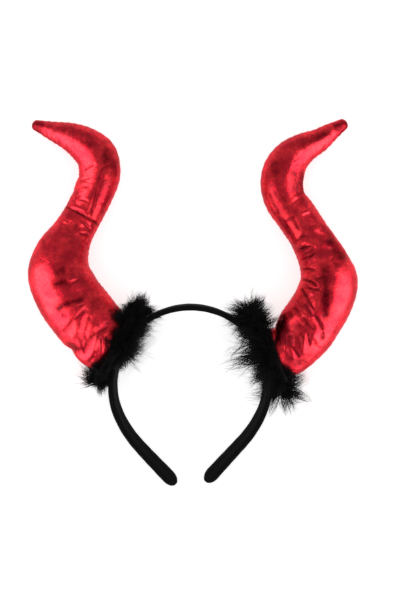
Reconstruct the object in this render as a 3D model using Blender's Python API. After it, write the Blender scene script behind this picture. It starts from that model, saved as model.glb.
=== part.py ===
"""A horned headband that lies on its back.

A springy head band covered with black cloth carries two stuffed horns of red metallic cloth, and a trim of black
marabou feathers runs round the foot of each horn. Lengths are in metres. X runs across the headband, Y from the
ends of its legs to its crown, and Z up from the surface that it lies on, towards its front.

The band is worked out in its own plane round the middle of its arch, with a lean of 0 at the crown. Each side is
worked out as if it lay at +X and is then set on its own side.
"""

import math

import bmesh
import bpy
import numpy as np
from mathutils import Vector
from mathutils.bvhtree import BVHTree

# Driving sizes of the band
HEAD_WIDTH = 0.122
BAND_HEIGHT = 0.149
BAND_WIDTH = 0.012
BAND_THICKNESS = 0.0038
BAND_CORNER = 0.0016
ARCH_LEAN = math.radians(112.0)
LEG_LEAN = math.radians(131.0)
LEG_TWIST = math.radians(43.0)

# Driving sizes of the horns
HORN_RISE = 0.180
HORN_REACH = 0.070
BELLY_WIDTH = 0.0545
BELLY_DEPTH = 0.044
FOOT_WIDTH = 0.047
FOOT_LIP = 0.003
PRESSED_FLAT = 0.0009

# Driving sizes of the feather trims
CORE_RADIUS = 0.0048
CORE_RISE = 0.0095
LOCK_LENGTH = 0.0140
LOCK_TIP = 0.16

CLEARANCE = 0.0003

# What follows from them
BAND_RADIUS = HEAD_WIDTH / 2 + BAND_THICKNESS / 2
LEG_RADIUS = 1.5 * BAND_RADIUS
FOOT_DEPTH = BAND_WIDTH + 2 * FOOT_LIP
END_LENGTH = BAND_WIDTH * 0.75

# How finely each surface is divided
BAND_RINGS = 25
CORNER_POINTS = 3
HORN_RINGS = 56
HORN_SIDES = 28
CORE_RINGS = 34
CORE_SIDES = 8

# Each station of a horn: how far out and up its middle lies from the foot, as shares of HORN_REACH and HORN_RISE,
# then its width and depth, as shares of BELLY_WIDTH and BELLY_DEPTH.
#    out    up     width  depth
LEFT_STATIONS = (
    (0.080, 0.016, 0.890, 0.600),
    (0.190, 0.040, 0.990, 0.760),
    (0.315, 0.086, 1.020, 0.880),
    (0.450, 0.145, 1.020, 0.960),
    (0.625, 0.242, 1.000, 1.000),
    (0.720, 0.346, 0.935, 0.980),
    (0.695, 0.431, 0.795, 0.880),
    (0.560, 0.520, 0.640, 0.750),
    (0.432, 0.590, 0.572, 0.680),
    (0.303, 0.698, 0.594, 0.690),
    (0.250, 0.795, 0.615, 0.710),
    (0.292, 0.873, 0.612, 0.700),
    (0.444, 0.925, 0.555, 0.640),
    (0.625, 0.957, 0.457, 0.530),
    (0.789, 0.971, 0.330, 0.400),
    (0.906, 0.991, 0.220, 0.280),
    (1.000, 1.002, 0.135, 0.180),
)
RIGHT_STATIONS = (
    (0.090, 0.008, 0.880, 0.600),
    (0.240, 0.030, 0.955, 0.750),
    (0.362, 0.064, 0.950, 0.860),
    (0.473, 0.103, 0.930, 0.930),
    (0.596, 0.164, 0.897, 0.970),
    (0.690, 0.225, 0.892, 1.000),
    (0.760, 0.333, 0.890, 0.990),
    (0.686, 0.423, 0.805, 0.920),
    (0.514, 0.539, 0.675, 0.790),
    (0.374, 0.620, 0.645, 0.730),
    (0.239, 0.708, 0.636, 0.710),
    (0.210, 0.773, 0.636, 0.720),
    (0.245, 0.832, 0.637, 0.720),
    (0.338, 0.893, 0.577, 0.660),
    (0.502, 0.940, 0.480, 0.560),
    (0.666, 0.977, 0.390, 0.450),
    (0.807, 1.004, 0.255, 0.310),
    (0.947, 1.037, 0.125, 0.160),
)

# Each fold or dent: where its middle lies along the horn, as a share of its length, and round it, in degrees, with
# 0 at the outer side near the legs, 90 at the front and 180 at the side near the crown. Then its slant along the
# horn for each turn round, its half widths along and round, and its depth as a share of the horn's half width.
#    along  round  slant  along_w round_w depth
LEFT_FOLDS = (
    (0.095, 60.0, 0.40, 0.020, 28.0, 0.180),
    (0.150, 95.0, 0.55, 0.018, 36.0, 0.160),
    (0.225, 125.0, -0.30, 0.022, 34.0, 0.100),
    (0.320, 150.0, 0.15, 0.024, 30.0, 0.060),
    (0.508, 105.0, 0.15, 0.014, 80.0, 0.170),
    (0.475, 110.0, 0.10, 0.013, 60.0, 0.080),
    (0.610, 15.0, 0.10, 0.013, 38.0, 0.090),
    (0.670, 10.0, -0.10, 0.013, 36.0, 0.090),
    (0.945, 90.0, 0.00, 0.011, 80.0, 0.120),
)
RIGHT_FOLDS = (
    (0.080, 95.0, 0.30, 0.020, 32.0, 0.170),
    (0.135, 120.0, -0.25, 0.024, 34.0, 0.120),
    (0.190, 95.0, -0.35, 0.020, 38.0, 0.130),
    (0.260, 130.0, -0.25, 0.024, 36.0, 0.080),
    (0.330, 60.0, 0.20, 0.020, 30.0, 0.080),
    (0.455, 95.0, 0.25, 0.014, 65.0, 0.120),
    (0.500, 80.0, 0.25, 0.013, 55.0, 0.090),
    (0.640, 15.0, 0.10, 0.013, 38.0, 0.080),
    (0.940, 90.0, 0.00, 0.011, 80.0, 0.110),
)

# How long the locks are round a trim: the place round the foot in degrees, as for the folds, then the length of
# the locks that point away from the horn, up along it, and in towards the head, as shares of LOCK_LENGTH.
#    round   away  along  inward
LEFT_LOCKS = (
    (0.0, 0.80, 0.60, 0.80),
    (50.0, 0.55, 0.25, 0.85),
    (90.0, 0.45, 0.25, 1.25),
    (130.0, 0.70, 0.60, 1.25),
    (180.0, 1.10, 0.95, 0.95),
    (270.0, 0.45, 0.50, 1.25),
    (360.0, 0.80, 0.60, 0.80),
)
RIGHT_LOCKS = (
    (0.0, 1.05, 0.80, 1.00),
    (50.0, 0.60, 0.45, 1.25),
    (90.0, 0.50, 0.60, 1.60),
    (130.0, 0.75, 0.70, 1.50),
    (180.0, 1.30, 1.10, 1.05),
    (270.0, 0.50, 0.50, 1.40),
    (360.0, 1.05, 0.80, 1.00),
)

# What differs from side to side: the side of X, the lean of the foot's middle, how far above the band's outer face
# the trim crosses the foot's front, and the seed of its feathers.
SIDES = {
    "left": {
        "side": -1,
        "lean": math.radians(62.0),
        "crossing": -0.0022,
        "seed": 11,
        "stations": LEFT_STATIONS,
        "folds": LEFT_FOLDS,
        "locks": LEFT_LOCKS,
    },
    "right": {
        "side": 1,
        "lean": math.radians(67.0),
        "crossing": 0.0034,
        "seed": 29,
        "stations": RIGHT_STATIONS,
        "folds": RIGHT_FOLDS,
        "locks": RIGHT_LOCKS,
    },
}


def clear_scene():
    for thing in list(bpy.data.objects):
        bpy.data.objects.remove(thing, do_unlink=True)


def finish_of(name, color, roughness, metallic):
    """A plain surface with one colour, roughness and metallic value."""
    material = bpy.data.materials.new(name)
    material.use_nodes = True
    surface = material.node_tree.nodes["Principled BSDF"]
    surface.inputs["Base Color"].default_value = (*color, 1.0)
    surface.inputs["Roughness"].default_value = roughness
    surface.inputs["Metallic"].default_value = metallic
    return material


def solid_from_rings(rings):
    """A closed bmesh through rings of points, one after the other, with a flat face at each end."""
    shape = bmesh.new()
    loops = [[shape.verts.new(point) for point in ring] for ring in rings]
    sides = len(loops[0])
    for lower, upper in zip(loops, loops[1:]):
        for i in range(sides):
            j = (i + 1) % sides
            shape.faces.new((lower[i], lower[j], upper[j], upper[i]))
    shape.faces.new(loops[0][::-1])
    shape.faces.new(loops[-1])
    bmesh.ops.recalc_face_normals(shape, faces=shape.faces)
    return shape


def object_from(name, shape, side, material):
    """Sets a shape that was worked out at +X on its own side and makes it a named object."""
    for vertex in shape.verts:
        vertex.co.x *= side
    if side < 0:
        bmesh.ops.reverse_faces(shape, faces=shape.faces)
    mesh = bpy.data.meshes.new(name)
    shape.to_mesh(mesh)
    shape.free()
    mesh.materials.append(material)
    mesh.shade_smooth()
    mesh.set_sharp_from_angle(angle=math.radians(50.0))
    made = bpy.data.objects.new(name, mesh)
    bpy.context.scene.collection.objects.link(made)
    return made


def smooth_rows(rows, count):
    """Rows at even steps along a smooth curve through the given rows, whose first two columns are its places."""
    rows = np.asarray(rows, float)
    steps = np.linalg.norm(np.diff(rows[:, :2], axis=0), axis=1)
    at = np.concatenate([[0.0], np.cumsum(steps)])
    slopes = np.gradient(rows, at, axis=0)
    place = np.linspace(0.0, at[-1], count)
    index = np.clip(np.searchsorted(at, place, side="right") - 1, 0, len(at) - 2)
    width = (at[index + 1] - at[index])[:, None]
    share = (place - at[index])[:, None] / width
    start, end = rows[index], rows[index + 1]
    rise = (1 - share) ** 2 * share * width * slopes[index]
    fall = share**2 * (share - 1) * width * slopes[index + 1]
    ease = share * share * (3 - 2 * share)
    return start + (end - start) * ease + rise + fall


def band_line(distance):
    """The band's middle line in its own plane at distances from the crown: X, Y and lean.

    An arch of BAND_RADIUS, then a wider arc of LEG_RADIUS, then a straight leg at LEG_LEAN.
    """
    distance = np.asarray(distance, float)
    arch = BAND_RADIUS * ARCH_LEAN
    bend = LEG_RADIUS * (LEG_LEAN - ARCH_LEAN)
    on_arch = np.clip(distance, 0.0, arch) / BAND_RADIUS
    lean = on_arch + np.clip(distance - arch, 0.0, bend) / LEG_RADIUS
    straight = np.maximum(distance - arch - bend, 0.0)
    wide = np.maximum(lean, ARCH_LEAN)
    x = BAND_RADIUS * np.sin(on_arch) + LEG_RADIUS * (np.sin(wide) - math.sin(ARCH_LEAN))
    y = BAND_RADIUS * np.cos(on_arch) + LEG_RADIUS * (np.cos(wide) - math.cos(ARCH_LEAN))
    return x + straight * math.cos(LEG_LEAN), y - straight * math.sin(LEG_LEAN), lean


def half_band_length():
    """From the crown to the tip of a leg, so that the band is BAND_HEIGHT tall."""
    curved = BAND_RADIUS * ARCH_LEAN + LEG_RADIUS * (LEG_LEAN - ARCH_LEAN)
    drop_left = BAND_HEIGHT - BAND_RADIUS - BAND_THICKNESS / 2 + float(band_line(curved)[1])
    return curved + drop_left / math.sin(LEG_LEAN)


HALF_BAND = half_band_length()


def twist_at(distance):
    """How far the strip has turned about its middle line, which shows its inner face from the front."""
    return LEG_TWIST * (np.abs(distance) / HALF_BAND) ** 1.25


def strip_section():
    """The strip's outline across it: its width first, then its thickness, with rounded corners."""
    across, through = [], []
    corners = ((1, 1), (-1, 1), (-1, -1), (1, -1))
    for number, (to_width, to_thickness) in enumerate(corners):
        for step in range(CORNER_POINTS):
            turn = math.pi / 2 * (number + step / (CORNER_POINTS - 1))
            across.append(to_width * (BAND_WIDTH / 2 - BAND_CORNER) + BAND_CORNER * math.cos(turn))
            through.append(to_thickness * (BAND_THICKNESS / 2 - BAND_CORNER) + BAND_CORNER * math.sin(turn))
    return np.array(across), np.array(through)


def band_rings():
    """The strip's sections in the band's own plane, from the tip of one leg to the tip of the other."""
    body = np.linspace(0.0, HALF_BAND - END_LENGTH, BAND_RINGS)
    rounding = np.sin(np.linspace(0.0, math.pi / 2, 7))[1:]
    half = np.concatenate([body, HALF_BAND - END_LENGTH * (1 - rounding)])
    distance = np.concatenate([-half[:0:-1], half])
    side = np.sign(distance)
    x, y, lean = band_line(np.abs(distance))
    twist = twist_at(distance)
    past = np.clip((np.abs(distance) - HALF_BAND + END_LENGTH) / END_LENGTH, 0.0, 1.0)
    narrow = np.maximum(np.sqrt(1 - past**2), 0.22)
    thin = np.maximum(narrow, 0.5)
    outward = np.stack([side * np.sin(lean), np.cos(lean), np.zeros_like(lean)], axis=1)
    upward = np.array([0.0, 0.0, 1.0])
    width_way = upward * np.cos(twist)[:, None] + outward * np.sin(twist)[:, None]
    thick_way = outward * np.cos(twist)[:, None] - upward * np.sin(twist)[:, None]
    middle = np.stack([side * x, y, np.zeros_like(x)], axis=1)
    across, through = strip_section()
    return (
        middle[:, None, :]
        + width_way[:, None, :] * (across[None, :] * narrow[:, None])[:, :, None]
        + thick_way[:, None, :] * (through[None, :] * thin[:, None])[:, :, None]
    )


def band_tilt():
    """The slope at which the band lies: its leg tips on the surface, its arch as high as the horns' middles."""
    foot_y = BAND_RADIUS * math.cos(sum(one["lean"] for one in SIDES.values()) / len(SIDES))
    tip_y = BAND_RADIUS + BAND_THICKNESS / 2 - BAND_HEIGHT
    tip_height = BAND_WIDTH / 2 * math.cos(LEG_TWIST) + BAND_THICKNESS / 2 * math.sin(LEG_TWIST)
    return math.asin((BELLY_DEPTH / 2 - tip_height) / (foot_y - tip_y))


TILT = band_tilt()


def tilted(points):
    """Points of the band's own plane, sloped about X."""
    points = np.asarray(points, float)
    y = points[..., 1] * math.cos(TILT) - points[..., 2] * math.sin(TILT)
    z = points[..., 1] * math.sin(TILT) + points[..., 2] * math.cos(TILT)
    return np.stack([points[..., 0], y, z], axis=-1)


BAND_LIFT = -float(tilted(band_rings())[..., 2].min())


def laid(points):
    """Points of the band's own plane, where they lie once its leg tips touch the surface."""
    return tilted(points) + np.array([0.0, 0.0, BAND_LIFT])


def on_foot(lean, along_band, above, forward):
    """A point near a horn's foot: so far along the band, above its outer face, and forward of its middle line."""
    along_band, above, forward = np.broadcast_arrays(along_band, above, forward)
    at = lean + along_band / BAND_RADIUS
    twist = twist_at(at * BAND_RADIUS)
    face = BAND_THICKNESS / 2 / np.cos(twist) + forward * np.tan(twist)
    reach = BAND_RADIUS + face + CLEARANCE + above
    return laid(np.stack([reach * np.sin(at), reach * np.cos(at), forward], axis=-1))


def fold_depth(folds, along, turn):
    """How deep the folds press in at places along and round a horn, as shares of its half width."""
    depth = np.zeros(np.broadcast(along, turn).shape)
    for at, round_at, slant, along_w, round_w, deep in folds:
        off = (np.degrees(turn) - round_at + 180.0) % 360.0 - 180.0
        line = at + slant * off / 360.0
        depth += deep * np.exp(-(((along - line) / along_w) ** 2) - (off / round_w) ** 2)
    return depth


def gathers(along, turn):
    """Soft lengthwise flutes where the cloth is drawn in at the foot."""
    return 0.045 * np.cos(6 * turn + 0.7) * np.exp(-((along / 0.09) ** 2))


def horn_rings(one):
    """A horn's sections, from the middle of its foot on the band to its tip, worked out at +X.

    Every section stands square to the horn's middle line. Its lowest points are pressed flat on the surface.
    """
    turn = np.linspace(0.0, 2 * math.pi, HORN_SIDES, endpoint=False)
    foot = on_foot(one["lean"], 0.0, 0.0, 0.0)
    first = (0.0, 0.0, FOOT_WIDTH / BELLY_WIDTH, FOOT_DEPTH / BELLY_DEPTH)
    rows = np.array((first, *one["stations"])) * (HORN_REACH, HORN_RISE, BELLY_WIDTH, BELLY_DEPTH)
    rows = smooth_rows(rows, HORN_RINGS)
    ways = np.gradient(rows[:, :2], axis=0)
    ways /= np.linalg.norm(ways, axis=1)[:, None]
    along = np.linspace(0.0, 1.0, HORN_RINGS)
    lying = rows[:, 3] / 2 - PRESSED_FLAT
    settled = np.clip(along / 0.16, 0.0, 1.0)
    settled = settled * settled * (3 - 2 * settled)
    height = foot[2] + (lying - foot[2]) * settled
    across = np.stack([ways[:, 1], -ways[:, 0], np.zeros(HORN_RINGS)], axis=1)
    pressed = fold_depth(one["folds"], along[:, None], turn[None, :]) + gathers(along[:, None], turn[None, :])
    half_width = rows[:, 2, None] / 2 * np.cos(turn) * (1 - pressed)
    half_depth = rows[:, 3, None] / 2 * np.sin(turn) * (1 - pressed)
    middle = np.stack([foot[0] + rows[:, 0], foot[1] + rows[:, 1], height], axis=1)
    rings = middle[:, None, :] + across[:, None, :] * half_width[:, :, None]
    rings[:, :, 2] += half_depth
    flutes = 1 - gathers(0.0, turn)
    base = [
        on_foot(one["lean"], share * FOOT_WIDTH / 2 * np.cos(turn) * flutes, 0.0,
                share * FOOT_DEPTH / 2 * np.sin(turn) * flutes)
        for share in (0.1, 0.4, 0.7, 1.0)
    ]
    tip_way = np.array([ways[-1, 0], ways[-1, 1], -0.4])
    tip = middle[-1] + (rings[-1] - middle[-1]) * 0.62 + tip_way * rows[-1, 2] * 0.38
    rings = np.concatenate([base, rings[2:], [tip]])
    rings[:, :, 2] = np.maximum(rings[:, :, 2], 0.0)
    return rings


def too_near(point, room, trees):
    """Whether a point lies inside a neighbour, or nearer to one, or to the surface below, than the room it needs."""
    if point.z < room + CLEARANCE:
        return True
    for tree in trees:
        place, normal, _, gap = tree.find_nearest(point)
        if gap < room + CLEARANCE or (point - place).dot(normal) < 0:
            return True
    return False


def core_line(one, trees):
    """The middle line and radius of a trim's core, which runs round the foot and clears horn and band."""
    middles, radii = [], []
    for turn in np.linspace(0.0, 2 * math.pi, CORE_RINGS, endpoint=False):
        end = abs(math.cos(turn)) ** 1.4
        radius = CORE_RADIUS * (0.68 + 0.32 * end)
        above = one["crossing"] + (CORE_RISE - one["crossing"]) * end
        out = radius + CLEARANCE
        for _ in range(60):
            forward = (FOOT_DEPTH / 2 + out) * math.sin(turn)
            along_band = (FOOT_WIDTH / 2 + out) * math.cos(turn)
            middle = Vector(on_foot(one["lean"], along_band, above, forward))
            if not too_near(middle, radius, trees):
                break
            out += CLEARANCE
        middles.append(middle)
        radii.append(radius)
    return middles, radii


def core_ring(middle, radius, away, horn_way):
    """The corners of one section of a trim's core."""
    turns = [2 * math.pi * (k + 0.5) / CORE_SIDES for k in range(CORE_SIDES)]
    return [middle + (away * math.cos(turn) + horn_way * math.sin(turn)) * radius for turn in turns]


def feather_trim(name, one, trees, material):
    """A core round the horn's foot with a pointed lock of feathers drawn out of each of its faces."""
    seeded = np.random.default_rng(one["seed"])
    middles, radii = core_line(one, trees)
    foot = sum(middles, Vector()) / len(middles)
    rings = []
    for i, (middle, radius) in enumerate(zip(middles, radii)):
        onward = (middles[(i + 1) % CORE_RINGS] - middles[i - 1]).normalized()
        away = middle - foot
        away = (away - onward * away.dot(onward)).normalized()
        horn_way = onward.cross(away)
        if horn_way.xy.dot(foot.xy) < 0:
            horn_way.negate()
        rings.append((middle, radius, away, horn_way))
    shape = bmesh.new()
    loops = [[shape.verts.new(corner) for corner in core_ring(*ring)] for ring in rings]
    table = np.array(one["locks"])
    locks = []
    for i in range(CORE_RINGS):
        j = (i + 1) % CORE_RINGS
        away, horn_way = rings[i][2:]
        middle = (middles[i] + middles[j]) / 2
        place = 360.0 * (i + 0.5) / CORE_RINGS
        to_away, to_horn, to_head = (np.interp(place, table[:, 0], table[:, k]) for k in (1, 2, 3))
        for k in range(CORE_SIDES):
            m = (k + 1) % CORE_SIDES
            face = shape.faces.new((loops[i][k], loops[i][m], loops[j][m], loops[j][k]))
            way = (face.calc_center_median() - middle).normalized()
            on_away, on_horn = way.dot(away), way.dot(horn_way)
            if on_away < -0.55:
                continue
            aims = (max(on_away, 0.0) ** 2, max(on_horn, 0.0) ** 2, max(-on_horn, 0.0) ** 2)
            share = sum(a * b for a, b in zip(aims, (to_away, to_horn, to_head))) / max(sum(aims), 0.2)
            way = (way + Vector(seeded.uniform(-0.14, 0.14, 3))).normalized()
            locks.append((face, way, LOCK_LENGTH * share * seeded.uniform(0.6, 1.15)))
    bmesh.ops.recalc_face_normals(shape, faces=shape.faces)
    for face, way, length in locks:
        draw_lock(shape, face, way, length, trees)
    return object_from(name, shape, one["side"], material)


def draw_lock(shape, face, way, length, trees):
    """Draws one face out into a tapered lock, shortened until it is clear of its neighbours."""
    root = face.calc_center_median()
    width = math.sqrt(face.calc_area()) * 0.7
    while length > 3 * CLEARANCE:
        steps = [(share, root + way * length * share) for share in (0.25, 0.5, 0.75, 1.0)]
        if not any(too_near(at, width * (1 - (1 - LOCK_TIP) * share), trees) for share, at in steps):
            break
        length *= 0.85
    else:
        return
    grown = bmesh.ops.extrude_discrete_faces(shape, faces=[face])["faces"][0]
    for vertex in grown.verts:
        vertex.co = root + way * length + (vertex.co - root) * LOCK_TIP


def build():
    clear_scene()
    cloth = finish_of("band_cloth", (0.010, 0.010, 0.011), 0.85, 0.0)
    lame = finish_of("horn_lame", (0.62, 0.012, 0.030), 0.30, 0.9)
    marabou = finish_of("marabou_black", (0.006, 0.006, 0.007), 0.95, 0.0)
    band = solid_from_rings(laid(band_rings()))
    band_tree = BVHTree.FromBMesh(band)
    made = [object_from("headband", band, 1, cloth)]
    for name, one in SIDES.items():
        horn = solid_from_rings(horn_rings(one))
        trees = (BVHTree.FromBMesh(horn), band_tree)
        made.append(object_from(f"horn_{name}", horn, one["side"], lame))
        made.append(feather_trim(f"feather_trim_{name}", one, trees, marabou))
    corners = np.concatenate([[tuple(vertex.co) for vertex in thing.data.vertices] for thing in made])
    low, high = corners.min(axis=0), corners.max(axis=0)
    place = bpy.data.objects.new("horned_headband", None)
    place.location = (-(low[0] + high[0]) / 2, -(low[1] + high[1]) / 2, -low[2])
    bpy.context.scene.collection.objects.link(place)
    for thing in made:
        thing.parent = place


build()
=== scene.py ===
"""How the horned headband looks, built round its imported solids.

Its five pieces are worked out from the same named sizes as the solids: the cloth-covered band, the two
stuffed horns of red lame and the two marabou trims. Lengths are in metres. X runs across the headband, Y
from the ends of its legs to its crown and Z up from the surface that it lies on. Each side is worked out at
+X and set on its own side by placed().
"""

import math

import bpy
import numpy as np
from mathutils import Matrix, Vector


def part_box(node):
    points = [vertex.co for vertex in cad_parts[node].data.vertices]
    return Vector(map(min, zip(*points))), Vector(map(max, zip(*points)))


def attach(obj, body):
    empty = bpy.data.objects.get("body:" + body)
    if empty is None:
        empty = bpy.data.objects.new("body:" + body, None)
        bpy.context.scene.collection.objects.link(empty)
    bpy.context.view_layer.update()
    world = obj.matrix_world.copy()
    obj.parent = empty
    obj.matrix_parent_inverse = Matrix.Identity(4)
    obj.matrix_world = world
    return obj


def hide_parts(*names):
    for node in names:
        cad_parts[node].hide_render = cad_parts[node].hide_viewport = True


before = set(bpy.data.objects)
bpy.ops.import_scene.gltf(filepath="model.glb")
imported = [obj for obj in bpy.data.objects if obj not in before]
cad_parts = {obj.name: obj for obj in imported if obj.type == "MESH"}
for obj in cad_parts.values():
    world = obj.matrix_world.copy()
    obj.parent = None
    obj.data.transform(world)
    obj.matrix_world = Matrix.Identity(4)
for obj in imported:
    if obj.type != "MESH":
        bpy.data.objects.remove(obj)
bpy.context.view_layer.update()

# The band's sizes
HEAD_WIDTH = 0.122
BAND_HEIGHT = 0.149
BAND_WIDTH = 0.012
BAND_THICKNESS = 0.0038
BAND_CORNER = 0.0016
ARCH_LEAN = math.radians(112.0)
LEG_LEAN = math.radians(131.0)
LEG_TWIST = math.radians(43.0)
# Its least width and thickness at its rounded ends, as shares
END_LEAST_WIDTH = 0.22
END_LEAST_THICKNESS = 0.5

# The horns' sizes
HORN_RISE = 0.180
HORN_REACH = 0.070
BELLY_WIDTH = 0.0545
BELLY_DEPTH = 0.044
FOOT_WIDTH = 0.047
FOOT_LIP = 0.003
PRESSED_FLAT = 0.0009
# The foot's cloth: how far it is drawn in, and the depth, number and reach of its flutes
DRAWN_IN = 0.62
FLUTE_DEPTH = 0.045
FLUTES = 6
FLUTE_REACH = 0.09
# Shares of a horn's length: where the drawn-in foot has opened out, where its middle has risen to its
# height, and the reach of the bells that even out which way its sections face
FOOT_OPEN = 0.042
FOOT_RISE = 0.16
WAYS_REACH = 0.045

# The feather trims' sizes
CORE_RADIUS = 0.0048
CORE_RISE = 0.0095
LOCK_LENGTH = 0.0140
CLEARANCE = 0.0003
# The core's radius along the foot's sides, and what its ends add, as shares of CORE_RADIUS
CORE_THIN, CORE_SWELL = 0.68, 0.32

BAND_RADIUS = HEAD_WIDTH / 2 + BAND_THICKNESS / 2
LEG_RADIUS = 1.5 * BAND_RADIUS
FOOT_DEPTH = BAND_WIDTH + 2 * FOOT_LIP
END_LENGTH = BAND_WIDTH * 0.75

# Each station of a horn: how far out and up its middle lies from the foot, then its width and depth, as
# shares of HORN_REACH, HORN_RISE, BELLY_WIDTH and BELLY_DEPTH
LEFT_STATIONS = (
    (0.084, 0.010, 0.910, 0.600),
    (0.196, 0.033, 0.990, 0.760),
    (0.320, 0.082, 1.015, 0.880),
    (0.450, 0.145, 1.020, 0.960),
    (0.625, 0.242, 1.000, 1.000),
    (0.716, 0.346, 0.952, 0.980),
    (0.673, 0.431, 0.815, 0.880),
    (0.556, 0.521, 0.636, 0.750),
    (0.452, 0.592, 0.600, 0.680),
    (0.328, 0.690, 0.612, 0.690),
    (0.245, 0.795, 0.636, 0.710),
    (0.290, 0.873, 0.630, 0.700),
    (0.446, 0.926, 0.545, 0.640),
    (0.625, 0.962, 0.425, 0.530),
    (0.789, 0.983, 0.315, 0.400),
    (0.906, 0.999, 0.235, 0.290),
    (1.003, 1.013, 0.165, 0.200),
)
RIGHT_STATIONS = (
    (0.095, -0.004, 0.790, 0.600),
    (0.256, 0.004, 0.795, 0.750),
    (0.386, 0.049, 0.845, 0.860),
    (0.482, 0.098, 0.905, 0.930),
    (0.596, 0.164, 0.897, 0.970),
    (0.690, 0.225, 0.892, 1.000),
    (0.764, 0.333, 0.872, 0.990),
    (0.690, 0.423, 0.742, 0.920),
    (0.528, 0.539, 0.634, 0.790),
    (0.392, 0.620, 0.632, 0.730),
    (0.245, 0.708, 0.640, 0.710),
    (0.216, 0.773, 0.655, 0.720),
    (0.245, 0.832, 0.645, 0.720),
    (0.337, 0.891, 0.570, 0.660),
    (0.502, 0.940, 0.456, 0.560),
    (0.668, 0.972, 0.368, 0.450),
    (0.808, 1.011, 0.280, 0.320),
    (0.944, 1.045, 0.178, 0.190),
)

# Each broad fold: its place along the horn as a share of its length and round it in degrees, its slant along
# for each turn round, its half widths along and round, and its depth as a share of the horn's half width
LEFT_FOLDS = (
    (0.095, 60.0, 0.40, 0.022, 28.0, 0.060),
    (0.150, 95.0, 0.55, 0.020, 36.0, 0.060),
    (0.225, 118.0, -0.30, 0.022, 30.0, 0.045),
    (0.320, 150.0, 0.15, 0.030, 30.0, 0.020),
    (0.508, 100.0, 0.15, 0.014, 52.0, 0.085),
    (0.475, 105.0, 0.10, 0.013, 48.0, 0.050),
    (0.610, 15.0, 0.10, 0.013, 38.0, 0.030),
    (0.670, 10.0, -0.10, 0.013, 36.0, 0.030),
)
RIGHT_FOLDS = (
    (0.080, 95.0, 0.30, 0.022, 32.0, 0.060),
    (0.135, 120.0, -0.25, 0.024, 34.0, 0.060),
    (0.190, 95.0, -0.35, 0.020, 38.0, 0.060),
    (0.260, 125.0, -0.25, 0.028, 34.0, 0.045),
    (0.455, 95.0, 0.25, 0.014, 65.0, 0.070),
    (0.500, 80.0, 0.25, 0.013, 55.0, 0.050),
    (0.640, 15.0, 0.10, 0.013, 38.0, 0.030),
)

# Each crease of the front, in pixels of the photograph: its two ends, how far its middle bows out to its left,
# its half width, its depth in millimetres, negative for a ridge, and how much painted shade darkens the foil
# along it, from 0 to 1. Rows of no depth are broad zones of painted shade only.
LEFT_CREASES = (
    (28, 124, 44, 128, 0, 6.5, 0, 0.7),
    (44, 128, 46, 135, 0, 1.2, 0.4, 0.3),
    (50, 129, 72, 136, 0, 2.2, 0.1, 0.45),
    (70, 135, 94, 147, 0, 3, 0.15, 0.45),
    (106, 147, 107, 171, 0, 4.2, 0.3, 0.65),
    (114, 160, 116, 176, 0, 3, 0, 0.35),
    (103, 167, 98, 186, 0, 2, 0.5, 0.45),
    (98, 185, 91, 214, 0, 2, 0.6, 0.5),
    (92, 207, 91, 218, 0, 1.9, 0.3, 0.45),
    (113, 180, 100, 220, 0, 1.7, 0.1, 0.3),
    (84, 170, 96, 164, 0, 1.2, 0.5, 0.55),
    (81, 180, 92, 178, 0, 1.3, 0.4, 0.4),
    (81, 186, 91, 187, 0, 2, 0.3, 0.3),
    (75, 198, 82, 195, 0, 2.5, 0.3, 0.45),
    (79, 199, 89, 202, 0, 1.2, 0.4, 0.4),
    (65, 206, 77, 211, -0.5, 1.1, 1, 0.75),
    (76, 211, 88, 218, 0.3, 1.2, 1.2, 0.75),
    (87, 217, 100, 227, 0.5, 1.2, 1.2, 0.75),
    (74, 210, 86, 214, 1, 0.8, 0.5, 0.5),
    (68, 205, 88, 211, 0, 2.2, -0.5, 0),
    (79, 220, 75, 232, 0, 1.5, 0.4, 0.4),
    (82, 219, 91, 231, 0, 1.2, 0.7, 0.5),
    (79, 233, 90, 235, 0, 2, 0.7, 0.65),
    (82, 240, 88, 246, 0, 1.5, 0.3, 0.3),
    (74, 229, 84, 224, 0, 2.5, -0.5, 0),
    (43, 238, 46, 251, 0, 3.6, 0.5, 0.5),
    (56, 273, 68, 270, 0, 5, 0.25, 0.7),
    (54, 286, 70, 280, 0, 4.8, 0.4, 0.85),
    (69, 281, 81, 276, 0, 1.2, -0.4, 0),
    (70, 285, 82, 279, 0, 1.5, 0.4, 0.3),
    (57, 310, 72, 301, 0, 3.8, 0.5, 0.85),
    (68, 303, 86, 299, 0, 3, 0.5, 0.75),
    (70, 309, 86, 301, 0, 1, -0.4, 0),
    (73, 308, 85, 304, 0, 1.5, 0.3, 0.3),
    (63, 315, 69, 315, 0, 2.6, 0.4, 0.45),
    (87, 308, 76, 320, 0, 2.4, 0.8, 0.6),
    (77, 318, 63, 335, -0.5, 2.2, 0.7, 0.55),
    (96, 296, 92, 310, 0, 5, 0.3, 0.4),
    (88, 315, 93, 321, 0, 2, 0.3, 0.25),
    (70, 338, 84, 324, 0, 4, -0.7, 0),
    (86, 332, 96, 325, 0, 3, -0.5, 0),
    (109, 326, 96, 333, 0, 2.5, 1, 0.6),
    (97, 332, 87, 345, 0, 3.2, 1.2, 0.7),
    (88, 343, 84, 353, 0, 2.8, 1, 0.65),
    (66, 343, 83, 353, 0, 3.2, 0.9, 0.65),
    (99, 335, 93, 353, 0, 2.2, -0.9, 0),
    (93, 352, 86, 361, 0, 2.5, -0.8, 0),
    (86, 361, 74, 352, 0, 2, -0.6, 0),
    (102, 336, 102, 352, 0, 1.3, 0.7, 0.75),
    (107, 334, 108, 350, 0, 1.5, 0.7, 0.75),
    (116, 333, 115, 345, 0, 1.5, 0.6, 0.6),
    (104.5, 345, 104.5, 358, 0, 0.9, -0.4, 0),
    (112.5, 334, 112.5, 346, 0, 1, -0.4, 0),
)
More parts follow.
